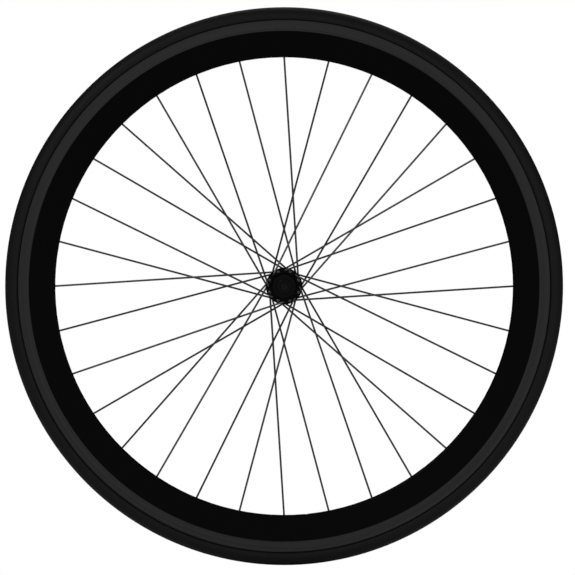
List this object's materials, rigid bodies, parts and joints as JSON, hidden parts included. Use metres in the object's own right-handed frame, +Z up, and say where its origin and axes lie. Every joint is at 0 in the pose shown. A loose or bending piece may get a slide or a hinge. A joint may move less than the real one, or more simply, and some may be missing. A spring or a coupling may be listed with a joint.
{
  "type": "bicycle wheel",
  "caption": "Front bicycle wheel with a deep-section black rim, a narrow black tyre, crossed black steel spokes and a small black hub on a nutted axle.",
  "frame": {"origin": "centre of the wheel, midway between the two locknut faces on the axle's line", "axes": "+Y along the axle towards the wheel's left side, +Z up, +X forward"},
  "size_m": [0.667, 0.136, 0.6668],
  "materials": {
    "tyre_rubber": "satin black rubber",
    "tube_rubber": "matte black rubber",
    "tape": "plain woven tape",
    "rim_alloy": "black anodised, with a dark grey brake track",
    "hub_alloy": "black anodised",
    "spoke_steel": "drawn wire with a glossy black coating",
    "brass": "plain brass",
    "hard_steel": "ground bearing steel",
    "cage_steel": "pressed spring steel",
    "dust_cap_steel": "pressed steel, blackened",
    "plated_steel": "zinc plated",
    "black_steel": "black oxide",
    "axle_steel": "black oxide with rolled threads"
  },
  "bodies": {
    "axle_set": {"axle": "axle_steel", "cone_right": "hard_steel", "cone_left": "hard_steel", "spacer_washer_right": "plated_steel", "spacer_washer_left": "plated_steel", "locknut_right": "black_steel", "locknut_left": "black_steel", "fork_washer_right": "black_steel", "fork_washer_left": "black_steel", "axle_nut_right": "black_steel", "axle_nut_left": "black_steel"},
    "wheel": {"tyre": "tyre_rubber", "inner_tube": "tube_rubber", "valve_stem": "brass", "valve_core": "brass", "rim_tape": "tape", "rim": "rim_alloy", "spoke_nipples": "brass", "hub_shell": "hub_alloy", "bearing_cup_right": "hard_steel", "bearing_cup_left": "hard_steel", "dust_cap_right": "dust_cap_steel", "dust_cap_left": "dust_cap_steel", "spoke_right_01": "spoke_steel", "spoke_left_01": "spoke_steel", "spoke_right_02": "spoke_steel", "spoke_left_02": "spoke_steel", "spoke_right_03": "spoke_steel", "spoke_left_03": "spoke_steel", "spoke_right_04": "spoke_steel", "spoke_left_04": "spoke_steel", "spoke_right_05": "spoke_steel", "spoke_left_05": "spoke_steel", "spoke_right_06": "spoke_steel", "spoke_left_06": "spoke_steel", "spoke_right_07": "spoke_steel", "spoke_left_07": "spoke_steel", "spoke_right_08": "spoke_steel", "spoke_left_08": "spoke_steel", "spoke_right_09": "spoke_steel", "spoke_left_09": "spoke_steel", "spoke_right_10": "spoke_steel", "spoke_left_10": "spoke_steel", "spoke_right_11": "spoke_steel", "spoke_left_11": "spoke_steel", "spoke_right_12": "spoke_steel", "spoke_left_12": "spoke_steel", "spoke_right_13": "spoke_steel", "spoke_left_13": "spoke_steel", "spoke_right_14": "spoke_steel", "spoke_left_14": "spoke_steel", "spoke_right_15": "spoke_steel", "spoke_left_15": "spoke_steel", "spoke_right_16": "spoke_steel", "spoke_left_16": "spoke_steel"},
    "bearing_right": {"bearing_balls_right": "hard_steel", "ball_cage_right": "cage_steel"},
    "bearing_left": {"bearing_balls_left": "hard_steel", "ball_cage_left": "cage_steel"}
  },
  "joints": [
    {"name": "wheel_spin", "type": "hinge", "parent": "axle_set", "child": "wheel", "pos_m": [0, 0, 0], "axis": [0, 1, 0], "continuous": true},
    {"name": "bearing_right_spin", "type": "hinge", "parent": "axle_set", "child": "bearing_right", "pos_m": [0, 0, 0], "axis": [0, 1, 0], "continuous": true},
    {"name": "bearing_left_spin", "type": "hinge", "parent": "axle_set", "child": "bearing_left", "pos_m": [0, 0, 0], "axis": [0, 1, 0], "continuous": true}
  ],
  "couplings": [
    {"joint": "bearing_right_spin", "follows": "wheel_spin", "ratio": 0.6},
    {"joint": "bearing_left_spin", "follows": "wheel_spin", "ratio": 0.6}
  ]
}
